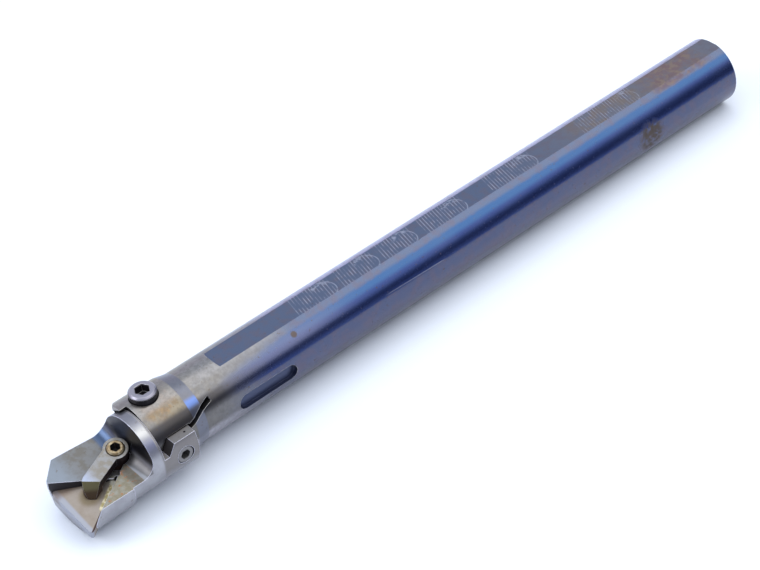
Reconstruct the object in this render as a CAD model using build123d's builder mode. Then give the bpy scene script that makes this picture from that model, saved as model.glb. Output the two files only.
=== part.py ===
from build123d import *
from math import cos, radians, sin, tan
import os

# A right-hand boring bar with an adjustable, clamped cutting head. Millimetres.
# The origin is the centre of the shank's rear face, +X runs along the bar to the cutting end,
# +Z goes up through the shank's upper flat and +Y is the side that the cutting corner faces.

# ---------------------------------------------------------------- driving dimensions: the bar

shank_diameter = 25.4
shank_length = 252.0
rear_chamfer = 0.6
flat_depth = 0.76
flat_front_setback = 12.5
flat_end_radius = 14.0
side_slot_length = 24.2
side_slot_width = 5.9
side_slot_depth = 1.9
side_slot_setback = 13.1
side_slot_drop = 0.2

cone_length = 4.8
collar_diameter = 27.4
collar_root = 2.0
jaw_underside_z = 5.95
lip_top_z = -6.65
slit_width = 1.6
slit_slope_deg = 17.0
slit_reach = 11.0
slit_drop = 1.15
ear_length = 2.8
ear_clearance = 0.3
ear_bevel_deg = 34.0
ear_bevel_y = -9.9
ear_end_y = -1.5

# ---------------------------------------------------------------- driving dimensions: the head

head_diameter = 27.0
head_offset = 3.8
cross_travel = 0.5
tongue_length = 13.2
tongue_fit = 0.05
tongue_end_gap = 0.7
tongue_top_gap = 0.35
ring_width = 4.1
barrel_length = 28.0
barrel_shift = 0.6
barrel_drop = 1.1
barrel_step = 9.1
jaw_face_gap = 0.6
notch_depth = 3.15
notch_floor = 1.9
hook_clearance = 0.45

land_edge_height = 0.25
deck_roll_deg = 13.0
deck_pitch_deg = 6.5
deck_far_y = -9.3
deck_far_z = 3.2
deck_far_setback = 6.5
land_roll_deg = 2.0
land_pitch_deg = 0.5
gullet_radius = 5.3
front_relief_deg = 11.0
front_sweep_deg = 1.2
heel_cut_y = -2.95

# ---------------------------------------------------------------- driving dimensions: the insert seat

rake_roll_deg = 13.0
rake_pitch_deg = 3.0
pocket_corner_setback = 19.0
pocket_corner_y = 7.9
pocket_corner_z = -2.85
pocket_turn_deg = 1.5
pocket_wall_lean_deg = 11.0
pocket_half_angle_deg = 30.0
seat_inscribed_diameter = 12.3
seat_thickness = 3.18
seat_nose_radius = 0.8
seat_fit = 0.05
corner_relief_radius = 1.1
pin_diameter = 2.4
pin_length = 6.0
pin_in_seat = 2.0

# ---------------------------------------------------------------- driving dimensions: the screws

jaw_screw_diameter = 6.35
jaw_screw_length = 22.2
jaw_screw_head_diameter = 9.53
jaw_screw_head_height = 6.35
jaw_screw_socket = 4.76
jaw_screw_socket_depth = 3.2
jaw_screw_y = -1.5
jaw_screw_top_z = 16.25
jaw_screw_from_floor = 6.5
jaw_screw_chamfer = 0.75
counterbore_play = 0.25
slot_play = 0.3
running_play = 0.05

adjust_screw_diameter = 6.35
adjust_screw_from_floor = 6.05
adjust_screw_socket = 3.18
adjust_screw_socket_depth = 3.6
adjust_screw_sink = 0.35
adjust_tip_gap = 0.1

clamp_screw_diameter = 4.83
clamp_screw_length = 12.0
clamp_screw_head_diameter = 5.8
clamp_screw_head_height = 2.6
clamp_screw_socket = 3.18
clamp_screw_socket_depth = 3.4
clamp_screw_rise = 0.8
clamp_screw_chamfer = 0.5

# ---------------------------------------------------------------- driving dimensions: the finger clamp

boss_diameter = 8.2
boss_height = 6.4
boss_top_x_setback = 23.25
boss_top_y = 3.07
boss_top_z = 4.75
boss_recess_play = 0.25
well_diameter = 9.4
finger_length = 17.2
finger_width = 5.6
finger_shift = -0.4
finger_turn_deg = 21.0
finger_neck_thickness = 3.4
finger_drop = 0.5
finger_corner_radius = 1.5
finger_shoulder_radius = 3.4
nose_length = 5.1
nose_wall_gap = 0.35
nose_bevel_setback = 3.0
nose_bevel_turn_deg = 28.0
nose_bevel_lean_deg = 26.0
nose_gap = 0.05

edge_break = 0.3

# how far a cutter runs on past whatever it cuts
big = 60.0
pocket_cut_height = 15.0

# ---------------------------------------------------------------- stations and radii worked out from them

shank_radius = shank_diameter / 2
collar_radius = collar_diameter / 2
head_radius = head_diameter / 2

collar_x = shank_length + cone_length
fork_floor_x = collar_x + collar_root
tongue_rear_x = fork_floor_x + tongue_end_gap
ring_rear_x = tongue_rear_x + tongue_length
ring_front_x = ring_rear_x + ring_width
head_front_x = ring_front_x + barrel_length
jaw_front_x = ring_rear_x - jaw_face_gap
ear_front_x = jaw_front_x + ear_length

tongue_top_z = jaw_underside_z - tongue_top_gap
tongue_bottom_z = lip_top_z + tongue_fit
notch_floor_z = tongue_top_z - notch_depth
notch_floor_x = ring_rear_x - notch_floor
flat_z = shank_radius - flat_depth
flat_length = shank_length - flat_front_setback
side_slot_end_x = shank_length - side_slot_setback
ear_relief = cross_travel + ear_clearance
cutter_span = 4 * big
pocket_half_angle = radians(pocket_half_angle_deg)

jaw_screw_x = fork_floor_x + jaw_screw_from_floor
adjust_screw_x = fork_floor_x + adjust_screw_from_floor
adjust_screw_z = (tongue_top_z + tongue_bottom_z) / 2
jaw_seat_z = jaw_screw_top_z - jaw_screw_head_height

# the rake frame: the seat, the finger clamp and its screw all stand square to this tilted plane
rake_normal = Vector(tan(radians(rake_pitch_deg)), tan(radians(rake_roll_deg)), 1).normalized()
rake_forward = (Vector(1, 0, 0) - rake_normal * rake_normal.X).normalized()
pocket_corner = Vector(head_front_x - pocket_corner_setback, pocket_corner_y, pocket_corner_z)
boss_top = Vector(head_front_x - boss_top_x_setback, boss_top_y, boss_top_z)
boss_seat = boss_top - rake_normal * boss_height


def rake_plane(origin, turn_deg=0.0):
    """A plane square to the rake normal, its x axis forward and turned towards the near side."""
    across = rake_normal.cross(rake_forward)
    turn = radians(turn_deg)
    return Plane(origin=origin, x_dir=rake_forward * cos(turn) + across * sin(turn), z_dir=rake_normal)


def side_section(y=0.0):
    """The XZ plane at y, with sketch x along the bar and sketch y upwards."""
    return Plane(origin=(0, y, 0), x_dir=(1, 0, 0), z_dir=(0, -1, 0))


def cross_section(x):
    """The plane square to the bar at x, with sketch x to the near side and sketch y upwards."""
    return Plane.YZ.offset(x)


# ---------------------------------------------------------------- the bar: shank, collar, jaw and lip

with BuildPart() as bar:
    with BuildSketch(Plane.XY):
        with BuildLine():
            Polyline(
                (0, 0),
                (0, shank_radius - rear_chamfer),
                (rear_chamfer, shank_radius),
                (shank_length, shank_radius),
                (collar_x, collar_radius),
                (ear_front_x, collar_radius),
                (ear_front_x, 0),
                close=True,
            )
        make_face()
    revolve(axis=Axis.X)

    # the two opposite flats for the holder's set screws, each run out by a round cutter
    for side in (1, -1):
        with BuildSketch(Plane.XY.offset(side * flat_z)):
            with Locations((flat_length / 2 - flat_end_radius / 2, 0)):
                Rectangle(flat_length - flat_end_radius, shank_diameter)
            with Locations((flat_length - flat_end_radius, 0)):
                Circle(flat_end_radius)
            with Locations((-flat_end_radius, 0)):
                Rectangle(flat_end_radius * 2, shank_diameter)
        extrude(amount=side * flat_depth * 2, mode=Mode.SUBTRACT)

    # the blind round-ended slot in the near side
    with BuildSketch(Plane.XZ.offset(-(shank_radius - side_slot_depth))):
        with Locations((side_slot_end_x - side_slot_length / 2, -side_slot_drop)):
            SlotOverall(side_slot_length, side_slot_width)
    extrude(amount=-shank_radius, mode=Mode.SUBTRACT)

    # the fork that the tongue slides in, with the hook left standing under the jaw's nose
    with BuildSketch(side_section()):
        with BuildLine():
            hook_z = notch_floor_z + hook_clearance
            hook_x = notch_floor_x + hook_clearance
            Polyline(
                (fork_floor_x, lip_top_z),
                (head_front_x, lip_top_z),
                (head_front_x, hook_z),
                (hook_x, hook_z),
                (hook_x - (jaw_underside_z - hook_z), jaw_underside_z),
                (fork_floor_x, jaw_underside_z),
                close=True,
            )
        make_face()
    extrude(amount=collar_diameter, both=True, mode=Mode.SUBTRACT)

    # the lip and the hook end behind the ring; only the jaw's ear passes it, clear of its rim
    with BuildSketch(cross_section(jaw_front_x)):
        with Locations((0, jaw_underside_z - collar_radius)):
            Rectangle(collar_diameter * 2, collar_diameter)
        with Locations((ear_end_y + collar_radius, 0)):
            Rectangle(collar_diameter, collar_diameter * 2)
        with Locations((head_offset, 0)):
            Circle(head_radius + ear_relief)
    extrude(amount=ear_length, mode=Mode.SUBTRACT)
    ear_bevel = Plane(
        origin=(jaw_front_x, ear_bevel_y, 0),
        x_dir=(0, 0, 1),
        z_dir=(cos(radians(ear_bevel_deg)), -sin(radians(ear_bevel_deg)), 0),
    )
    with BuildSketch(ear_bevel):
        Rectangle(collar_diameter * 2, collar_diameter)
    extrude(amount=collar_diameter, mode=Mode.SUBTRACT)

    # the slit that lets the jaw flex, rising to the rear from the fork's upper corner
    with BuildSketch(side_section()):
        with Locations(Location((fork_floor_x, jaw_underside_z - slit_drop, 0), (0, 0, 1), -slit_slope_deg)):
            Rectangle(slit_reach * 2, slit_width)
        with Locations((fork_floor_x + slit_reach, jaw_underside_z - slit_drop)):
            Rectangle(slit_reach * 2, slit_reach * 2, mode=Mode.SUBTRACT)
    extrude(amount=collar_diameter, both=True, mode=Mode.SUBTRACT)

    # the jaw screw's counterbore, clearance hole and the thread in the lip
    with Locations(Location((jaw_screw_x, jaw_screw_y, jaw_seat_z))):
        Cylinder(
            jaw_screw_head_diameter / 2 + counterbore_play,
            big,
            align=(Align.CENTER, Align.CENTER, Align.MIN),
            mode=Mode.SUBTRACT,
        )
        Cylinder(
            jaw_screw_diameter / 2 + counterbore_play,
            jaw_seat_z,
            align=(Align.CENTER, Align.CENTER, Align.MAX),
            mode=Mode.SUBTRACT,
        )
    with Locations(Location((jaw_screw_x, jaw_screw_y, lip_top_z))):
        Cylinder(
            jaw_screw_diameter / 2 + running_play,
            big,
            align=(Align.CENTER, Align.CENTER, Align.MAX),
            mode=Mode.SUBTRACT,
        )

bar.part.label = "shank_bar"

# ---------------------------------------------------------------- the tools that open the top of the head

seat_top = rake_plane(pocket_corner, pocket_turn_deg)
pocket_floor = seat_top.offset(-seat_thickness)

# the near pocket wall, leaning out, runs on to the ring; its plane's z axis points out of the pocket
wall_lean = radians(pocket_wall_lean_deg)
wall_along = rake_plane(pocket_corner, pocket_turn_deg + pocket_half_angle_deg).x_dir
wall_out = rake_normal.cross(wall_along)
near_wall = Plane(
    origin=pocket_corner, x_dir=wall_along, z_dir=wall_out * cos(wall_lean) - rake_normal * sin(wall_lean)
)


def top_tool(point, roll_deg, pitch_deg, depth):
    """A cutter that opens the top down to a plane through the point, rounded up the ring's front face."""
    roll = radians(roll_deg)
    pitch = tan(radians(pitch_deg))
    section = Plane(origin=(0, point[1], point[2]), x_dir=(1, 0, 0), z_dir=(0, -cos(roll), sin(roll)))
    with BuildPart() as tool:
        with BuildSketch(section):
            with BuildLine():
                Polyline(
                    (ring_front_x, big),
                    (ring_front_x, (ring_front_x - point[0]) * pitch),
                    (head_front_x + big, (head_front_x + big - point[0]) * pitch),
                    (head_front_x + big, big),
                    close=True,
                )
            profile = make_face()
            fillet(profile.vertices().sort_by(Axis.Y)[0], gullet_radius)
        extrude(amount=big, both=True)
        with BuildSketch(near_wall):
            Rectangle(cutter_span, cutter_span)
        extrude(amount=depth, mode=Mode.INTERSECT)
    return tool


land_point = (head_front_x, head_offset + head_radius, land_edge_height)
deck_point = (head_front_x - deck_far_setback, deck_far_y, deck_far_z)
land_tool = top_tool(land_point, land_roll_deg, land_pitch_deg, cutter_span)
deck_tool = top_tool(deck_point, deck_roll_deg, deck_pitch_deg, -cutter_span)

# ---------------------------------------------------------------- the cutting head

with BuildPart() as head:
    # the tongue: the full round, milled flat above and below
    with BuildSketch(cross_section(tongue_rear_x)):
        with Locations((head_offset, 0)):
            Circle(head_radius)
        with Locations((head_offset, (tongue_top_z + tongue_bottom_z) / 2)):
            Rectangle(head_diameter, tongue_top_z - tongue_bottom_z, mode=Mode.INTERSECT)
    extrude(amount=tongue_length)

    # the ring and the barrel in front of it
    with BuildSketch(cross_section(ring_rear_x)):
        with Locations((head_offset, 0)):
            Circle(head_radius)
    extrude(amount=ring_width + barrel_length)
    with BuildSketch(cross_section(ring_front_x + barrel_step)):
        with Locations((head_offset + barrel_shift, -barrel_drop)):
            Circle(head_radius)
    extrude(amount=barrel_length - barrel_step)

    # the one-sided dovetail notch that the jaw's hook draws back on
    with BuildSketch(side_section()):
        with BuildLine():
            Polyline(
                (ring_rear_x, tongue_top_z),
                (ring_rear_x, notch_floor_z),
                (notch_floor_x, notch_floor_z),
                (notch_floor_x - notch_depth, tongue_top_z),
                close=True,
            )
        make_face()
    extrude(amount=head_diameter * 2, both=True, mode=Mode.SUBTRACT)

    # the front face leans back below the edge and towards the near side
    front_normal = Vector(1, tan(radians(front_sweep_deg)), -tan(radians(front_relief_deg)))
    front_plane = Plane(
        origin=(head_front_x, boss_top_y, land_edge_height), x_dir=(0, 1, 0), z_dir=front_normal.normalized()
    )
    with BuildSketch(front_plane):
        Rectangle(big * 2, big * 2)
    extrude(amount=big, mode=Mode.SUBTRACT)

    # the heel cut across the far front corner
    heel_plane = Plane(
        origin=(head_front_x, heel_cut_y, 0), x_dir=(0, 0, 1), z_dir=(1, -1, 0)
    )
    with BuildSketch(heel_plane):
        Rectangle(big, big)
    extrude(amount=big, mode=Mode.SUBTRACT)

    # the top is milled away in front of the ring: the deck beyond the near pocket wall, the land before it
    add(deck_tool.part, mode=Mode.SUBTRACT)
    add(land_tool.part, mode=Mode.SUBTRACT)

    # the three-cornered pocket: upright walls round the seat, leaning walls above it
    straight_walls = (pocket_floor, seat_thickness, 0)
    leaning_walls = (seat_top, pocket_cut_height, -pocket_wall_lean_deg)
    for level, depth, lean_deg in (straight_walls, leaning_walls):
        with BuildSketch(level):
            with BuildLine():
                Polyline(
                    (0, 0),
                    (big * cos(pocket_half_angle), big * sin(pocket_half_angle)),
                    (big * cos(pocket_half_angle), -big * sin(pocket_half_angle)),
                    close=True,
                )
            make_face()
        extrude(amount=depth, taper=lean_deg, mode=Mode.SUBTRACT)
    with BuildSketch(pocket_floor):
        Circle(corner_relief_radius)
    extrude(amount=big, mode=Mode.SUBTRACT)
    pin_from_corner = seat_inscribed_diameter
    with BuildSketch(pocket_floor):
        with Locations((pin_from_corner, 0)):
            Circle(pin_diameter / 2)
    extrude(amount=-(pin_length - pin_in_seat), mode=Mode.SUBTRACT)

    # the well that the finger clamp's boss stands in, and the thread for its screw
    with BuildSketch(rake_plane(boss_seat)):
        Circle(well_diameter / 2)
    extrude(amount=big, mode=Mode.SUBTRACT)
    with BuildSketch(rake_plane(boss_seat)):
        Circle(clamp_screw_diameter / 2 + running_play)
    extrude(amount=-clamp_screw_length, mode=Mode.SUBTRACT)

    # the long slot that the jaw screw passes through, and the adjusting screw's thread into it
    with BuildSketch(Plane.XY.offset(tongue_bottom_z)):
        with Locations((jaw_screw_x, jaw_screw_y)):
            screw_slot_width = jaw_screw_diameter + 2 * slot_play
            SlotOverall(screw_slot_width + 2 * cross_travel, screw_slot_width, rotation=90)
    extrude(amount=tongue_top_z - tongue_bottom_z, mode=Mode.SUBTRACT)
    with BuildSketch(Plane.XZ.offset(-jaw_screw_y)):
        with Locations((adjust_screw_x, adjust_screw_z)):
            Circle(adjust_screw_diameter / 2 + running_play)
    extrude(amount=-big, mode=Mode.SUBTRACT)

head.part.label = "cutting_head"

# ---------------------------------------------------------------- the seat under the insert and its pin

seat_height = seat_inscribed_diameter * 1.5
seat_half_side = seat_height * tan(pocket_half_angle)

with BuildPart() as seat:
    with BuildSketch(seat_top):
        with BuildLine():
            tip = 2 * seat_fit
            Polyline(
                (tip, 0),
                (tip + seat_height, seat_half_side),
                (tip + seat_height, -seat_half_side),
                close=True,
            )
        outline = make_face()
        fillet(outline.vertices(), seat_nose_radius)
    extrude(amount=-seat_thickness)
    with BuildSketch(seat_top.offset(-seat_thickness)):
        with Locations((pin_from_corner, 0)):
            Circle(pin_diameter / 2)
    extrude(amount=pin_in_seat, mode=Mode.SUBTRACT)

seat.part.label = "insert_seat"

with BuildPart() as pin:
    with BuildSketch(seat_top.offset(pin_in_seat - seat_thickness)):
        with Locations((pin_from_corner, 0)):
            Circle(pin_diameter / 2)
    extrude(amount=-pin_length)

pin.part.label = "seat_pin"

# ---------------------------------------------------------------- the finger clamp and its screw

finger_plane = rake_plane(boss_top, finger_turn_deg)
along = finger_plane.x_dir
across = finger_plane.y_dir
nose_depth = (boss_top - pocket_corner).dot(rake_normal) - nose_gap
nose_start = finger_length - nose_length

with BuildPart() as clamp:
    # the finger from above, with a broad round shoulder on the far side
    with BuildSketch(finger_plane) as finger_outline:
        with Locations((finger_length / 2, finger_shift)):
            Rectangle(finger_length, finger_width)
        near_corner = finger_outline.vertices().group_by(Axis.Y)[-1].sort_by(Axis.X)[-1]
        fillet(near_corner, finger_corner_radius)
        far_corner = finger_outline.vertices().group_by(Axis.Y)[0].sort_by(Axis.X)[-1]
        fillet(far_corner, finger_shoulder_radius)
    extrude(amount=-nose_depth)

    # from the side: the neck, its underside falling towards the nose, and the nose that presses
    with BuildSketch(Plane(origin=boss_top, x_dir=along, z_dir=along.cross(rake_normal))):
        with BuildLine():
            Polyline(
                (0, 0),
                (0, -finger_neck_thickness),
                (boss_diameter / 2, -finger_neck_thickness),
                (nose_start, -finger_neck_thickness - finger_drop),
                (nose_start, -nose_depth),
                (finger_length, -nose_depth),
                (finger_length, 0),
                close=True,
            )
        make_face()
    extrude(amount=finger_width, both=True, mode=Mode.INTERSECT)

    # below the deck the nose stops short of the far pocket wall
    with BuildSketch(rake_plane(pocket_corner, pocket_turn_deg - pocket_half_angle_deg)):
        with Locations((0, nose_wall_gap - big / 2)):
            Rectangle(cutter_span, big)
    extrude(amount=nose_depth + nose_gap - finger_neck_thickness - finger_drop, mode=Mode.SUBTRACT)

    # the nose is bevelled back from its foot, turned towards the near side
    turn = radians(nose_bevel_turn_deg)
    lean = radians(nose_bevel_lean_deg)
    bevel_normal = (along * cos(turn) + across * sin(turn)) * cos(lean) + rake_normal * sin(lean)
    bevel_plane = Plane(
        origin=boss_top + along * (finger_length - nose_bevel_setback), x_dir=across, z_dir=bevel_normal
    )
    with BuildSketch(bevel_plane):
        Rectangle(big, big)
    extrude(amount=big, mode=Mode.SUBTRACT)

    # the round boss with the recess and the hole for the screw
    with BuildSketch(finger_plane):
        Circle(boss_diameter / 2)
    extrude(amount=-boss_height)
    with BuildSketch(finger_plane):
        Circle(clamp_screw_head_diameter / 2 + boss_recess_play)
    extrude(amount=-clamp_screw_head_height, mode=Mode.SUBTRACT)
    with BuildSketch(finger_plane):
        Circle(clamp_screw_diameter / 2 + boss_recess_play)
    extrude(amount=-boss_height, mode=Mode.SUBTRACT)

clamp.part.label = "insert_clamp"

with BuildPart() as clamp_screw:
    screw_seat = rake_plane(boss_top - rake_normal * clamp_screw_head_height)
    with BuildSketch(screw_seat):
        Circle(clamp_screw_head_diameter / 2)
    extrude(amount=clamp_screw_head_height + clamp_screw_rise)
    chamfer(clamp_screw.faces().sort_by(Axis.Z)[-1].edges(), clamp_screw_chamfer)
    with BuildSketch(screw_seat):
        Circle(clamp_screw_diameter / 2)
    extrude(amount=-clamp_screw_length)
    with BuildSketch(screw_seat.offset(clamp_screw_head_height + clamp_screw_rise)):
        RegularPolygon(clamp_screw_socket / 2, 6, major_radius=False)
    extrude(amount=-clamp_screw_socket_depth, mode=Mode.SUBTRACT)

clamp_screw.part.label = "insert_clamp_screw"

# ---------------------------------------------------------------- the jaw's cap screw and the adjusting screw

with BuildPart() as jaw_screw:
    with BuildSketch(Plane.XY.offset(jaw_seat_z)):
        with Locations((jaw_screw_x, jaw_screw_y)):
            Circle(jaw_screw_head_diameter / 2)
    extrude(amount=jaw_screw_head_height)
    chamfer(jaw_screw.faces().sort_by(Axis.Z)[-1].edges(), jaw_screw_chamfer)
    with BuildSketch(Plane.XY.offset(jaw_seat_z)):
        with Locations((jaw_screw_x, jaw_screw_y)):
            Circle(jaw_screw_diameter / 2)
    extrude(amount=-jaw_screw_length)
    with BuildSketch(Plane.XY.offset(jaw_screw_top_z)):
        with Locations((jaw_screw_x, jaw_screw_y)):
            RegularPolygon(jaw_screw_socket / 2, 6, major_radius=False)
    extrude(amount=-jaw_screw_socket_depth, mode=Mode.SUBTRACT)

jaw_screw.part.label = "jaw_cap_screw"

adjust_outer_y = head_offset + head_radius - adjust_screw_sink
adjust_inner_y = jaw_screw_y + jaw_screw_diameter / 2 + adjust_tip_gap

with BuildPart() as adjust_screw:
    with BuildSketch(Plane.XZ.offset(-adjust_outer_y)):
        with Locations((adjust_screw_x, adjust_screw_z)):
            Circle(adjust_screw_diameter / 2)
    extrude(amount=adjust_outer_y - adjust_inner_y)
    chamfer(adjust_screw.edges().filter_by(GeomType.CIRCLE), edge_break)
    with BuildSketch(Plane.XZ.offset(-adjust_outer_y)):
        with Locations((adjust_screw_x, adjust_screw_z)):
            RegularPolygon(adjust_screw_socket / 2, 6, major_radius=False)
    extrude(amount=adjust_screw_socket_depth, mode=Mode.SUBTRACT)

adjust_screw.part.label = "head_adjusting_screw"

# ---------------------------------------------------------------- one file for each piece

os.makedirs("parts", exist_ok=True)
for piece in (bar, head, seat, pin, clamp, clamp_screw, jaw_screw, adjust_screw):
    export_step(piece.part, f"parts/{piece.part.label}.step")
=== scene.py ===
# %% [markdown]
# # A boring bar with a cross-sliding cutting head
# A boring bar is a stiff steel rod that carries a small cutter into a hole on a lathe. Its
# shapes come from CAD and stay as they are, so this lesson is about finishes: blued steel
# that has worn bare, brown stains, rust and rubbed edges, and the soft light that shows them.
# Lengths are metres. The bar runs along X from its rear end to its cutting head, with its
# top towards +Z.

from functools import reduce
from math import degrees, tau

import bpy
from mathutils import Matrix, Vector

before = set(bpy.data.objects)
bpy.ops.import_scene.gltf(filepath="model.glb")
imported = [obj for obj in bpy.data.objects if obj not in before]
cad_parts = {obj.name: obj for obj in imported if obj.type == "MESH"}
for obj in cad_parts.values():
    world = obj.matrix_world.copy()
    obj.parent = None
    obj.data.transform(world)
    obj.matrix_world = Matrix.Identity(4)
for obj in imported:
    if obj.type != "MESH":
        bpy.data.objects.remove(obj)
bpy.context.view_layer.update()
print("pieces:", sorted(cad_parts))

# %% [markdown]
# ## Nodes from a script
# A finish is a tree of shader nodes. The nodes could be placed by hand in the editor. Here
# `add` makes each one, so that a finish reads as a few short lines. A socket knows the tree
# that it belongs to, which is why the helpers after `add` need no tree.


# %% Make and feed a node
def feed(node, inputs):
    """Links or sets the node's inputs, by name or number."""
    for name, value in inputs.items():
        if isinstance(value, bpy.types.NodeSocket):
            node.id_data.links.new(value, node.inputs[name])
        else:
            node.inputs[name].default_value = value


def add(tree, kind, inputs=None, **settings):
    """Adds a node, applies its settings, then feeds its inputs, and returns it."""
    node = tree.nodes.new(kind)
    for name, value in settings.items():
        setattr(node, name, value)
    feed(node, inputs or {})
    return node


print("node helpers:", [feed.__name__, add.__name__])

# %% [markdown]
# ## Masks
# A mask is 1 where a stain or a rub is and 0 elsewhere. Wear has no hard edge, so a mask is
# made by fading a place, an angle or a noise from one value to another. Masks that are
# multiplied leave only what they share.


# %% Make and join masks
def calc(operation, a, b=0.0):
    """One step of arithmetic on two numbers, of which one at least is a socket."""
    tree = (a if isinstance(a, bpy.types.NodeSocket) else b).id_data
    return add(tree, "ShaderNodeMath", {0: a, 1: b}, operation=operation).outputs[0]


def times(*masks):
    """The product of the masks: 1 only where all of them are."""
    return reduce(lambda a, b: calc("MULTIPLY", a, b), masks)


def most(*masks):
    """The largest of the masks: 1 where any of them is."""
    return reduce(lambda a, b: calc("MAXIMUM", a, b), masks)


def measure(operation, a, b):
    """A distance or a dot product of two vectors, as a number."""
    node = add(a.id_data, "ShaderNodeVectorMath", {0: a, 1: b}, operation=operation)
    return node.outputs["Value"]


def fade(value, start, end):
    """0 at start, 1 at end, smooth between them and flat beyond."""
    inputs = {0: value, 1: start, 2: end}
    return add(value.id_data, "ShaderNodeMapRange", inputs, interpolation_type="SMOOTHSTEP").outputs[0]


def between(value, low, high, soft):
    """1 inside the span from low to high, fading to 0 within soft of its ends."""
    return times(fade(value, low - soft, low + soft), fade(value, high + soft, high - soft))


print("mask helpers:", [helper.__name__ for helper in (calc, times, most, measure, fade, between)])

# %% [markdown]
# ## Colours
# A colour is written as plain red, green and blue. Where a mask is partly 1, a Mix node
# gives a colour or a number between the two. It has several inputs called A and B, one
# pair for each kind of value, so they are fed by number.


# %% Write and mix colours
def rgb(red, green, blue):
    """A solid colour, with the fourth number that Blender's sockets expect."""
    return (red, green, blue, 1.0)


def mix_colours(factor, a, b):
    """Colour a where the factor is 0 and b where it is 1."""
    return add(factor.id_data, "ShaderNodeMix", {0: factor, 6: a, 7: b}, data_type="RGBA").outputs[2]


def mix_numbers(factor, a, b):
    """Number a where the factor is 0 and b where it is 1."""
    return add(factor.id_data, "ShaderNodeMix", {0: factor, 2: a, 3: b}, data_type="FLOAT").outputs[0]


# Soot black also serves as painted shade in corners, recesses and walls that face away from the light.
SOOT_AND_SHADE = rgb(0.018, 0.014, 0.016)
BROWN = rgb(0.13, 0.085, 0.05)
PALE = rgb(0.62, 0.6, 0.58)
print("shared colours: soot", SOOT_AND_SHADE, "brown", BROWN, "pale", PALE)

# %% [markdown]
# ## Stains and spots
# Stains on steel have ragged edges and a rust spot is nearly round. Most finishes have some,
# so each is a node group, built once and placed in a material with its own values. They
# could be painted by hand on a texture, but noise cut at a level gives as many ragged
# patches as a piece needs, and every piece gets its own.

# %% Group: ragged patches
PATCH_DETAIL = 6.0
PATCH_ROUGHNESS = 0.62


def new_group(name, output, **kinds):
    """An empty node group with one output number; kinds gives the type of each input."""
    group = bpy.data.node_groups.new(name, "ShaderNodeTree")
    for socket, kind in kinds.items():
        group.interface.new_socket(socket, in_out="INPUT", socket_type="NodeSocket" + kind)
    group.interface.new_socket(output, in_out="OUTPUT", socket_type="NodeSocketFloat")
    return group, add(group, "NodeGroupInput").outputs, add(group, "NodeGroupOutput")


patches, given, result = new_group(
    "patches", "Mask", Vector="Vector", Scale="Float", Level="Float", Softness="Float"
)
noise_inputs = {
    "Vector": given["Vector"],
    "Scale": given["Scale"],
    "Detail": PATCH_DETAIL,
    "Roughness": PATCH_ROUGHNESS,
}
noise = add(patches, "ShaderNodeTexNoise", noise_inputs).outputs[0]
patch_start = calc("SUBTRACT", given["Level"], given["Softness"])
patch_full = calc("ADD", given["Level"], given["Softness"])
feed(result, {"Mask": fade(noise, patch_start, patch_full)})
print("group:", patches.name, "with", len(patches.nodes), "nodes")

# %% Group: a round spot
SPOT_FULL = 0.6
SPOT_GONE = 1.2

spot, given, result = new_group("spot", "Mask", Vector="Vector", Centre="Vector", Radius="Float")
distance = measure("DISTANCE", given["Vector"], given["Centre"])
spot_gone = calc("MULTIPLY", given["Radius"], SPOT_GONE)
spot_full = calc("MULTIPLY", given["Radius"], SPOT_FULL)
feed(result, {"Mask": fade(distance, spot_gone, spot_full)})
print("group:", spot.name, "full within", SPOT_FULL, "of its radius")

# %% [markdown]
# ## Bright edges, dark corners and grain
# Outer edges are made pale, partly as wear from handling and partly as painted highlight,
# and inner corners are darkened, partly as dirt and partly as painted shade. Both could be
# painted on a texture, but they follow the shape, so the shape can find them. The Bevel
# node rounds the normal near an edge, and where the rounded normal turns from the true one
# there is an edge. Ambient Occlusion is low in a corner. The grain is a fine noise, read as
# a height.

# %% Group: rubbed edges and painted highlight
BEVEL_SAMPLES = 6

rubbed_and_highlight_edges, given, result = new_group("rubbed_and_highlight_edges", "Mask", Radius="Float", Start="Float", Full="Float")
rounded = add(rubbed_and_highlight_edges, "ShaderNodeBevel", {"Radius": given["Radius"]}, samples=BEVEL_SAMPLES)
true_normal = add(rubbed_and_highlight_edges, "ShaderNodeNewGeometry").outputs["Normal"]
agreement = measure("DOT_PRODUCT", rounded.outputs[0], true_normal)
feed(result, {"Mask": fade(agreement, given["Start"], given["Full"])})
print("group:", rubbed_and_highlight_edges.name, "with", BEVEL_SAMPLES, "samples")

# %% Group: dirt and painted shade in corners
OCCLUSION_SAMPLES = 8

dirt_and_shade_corners, given, result = new_group(
    "dirt_and_shade_corners", "Mask", Distance="Float", Open="Float", Shut="Float"
)
occlusion_inputs = {"Distance": given["Distance"]}
occlusion = add(dirt_and_shade_corners, "ShaderNodeAmbientOcclusion", occlusion_inputs, samples=OCCLUSION_SAMPLES)
feed(result, {"Mask": fade(occlusion.outputs["AO"], given["Open"], given["Shut"])})
print("group:", dirt_and_shade_corners.name, "with", OCCLUSION_SAMPLES, "samples")

# %% Group: grain
GRAIN_SCALE = 2600.0
GRAIN_DETAIL = 2.0
GRAIN_HEIGHT = 0.000006

grain, given, result = new_group("grain", "Height", Vector="Vector")
grain_inputs = {"Vector": given["Vector"], "Scale": GRAIN_SCALE, "Detail": GRAIN_DETAIL}
fine = add(grain, "ShaderNodeTexNoise", grain_inputs).outputs[0]
feed(result, {"Height": calc("MULTIPLY", fine, GRAIN_HEIGHT)})
print("group:", grain.name, "up to", GRAIN_HEIGHT * 1000, "mm high")

# %% [markdown]
# ## One class for every steel
# A worn finish is a stack: the clean metal first, then each stain or rub laid over what is
# there. `Steel` holds one material and the look built up so far. Positions are Object
# coordinates, so a mark stays on its piece when the piece moves. `round` is the angle round
# the bar's own axis, in degrees from the top, the same on both sides.

# %% The Steel class
EDGE_RADIUS = 0.00025
EDGE_START = 0.015
EDGE_FULL = 0.12
PATCH_SOFTNESS = 0.06


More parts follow.
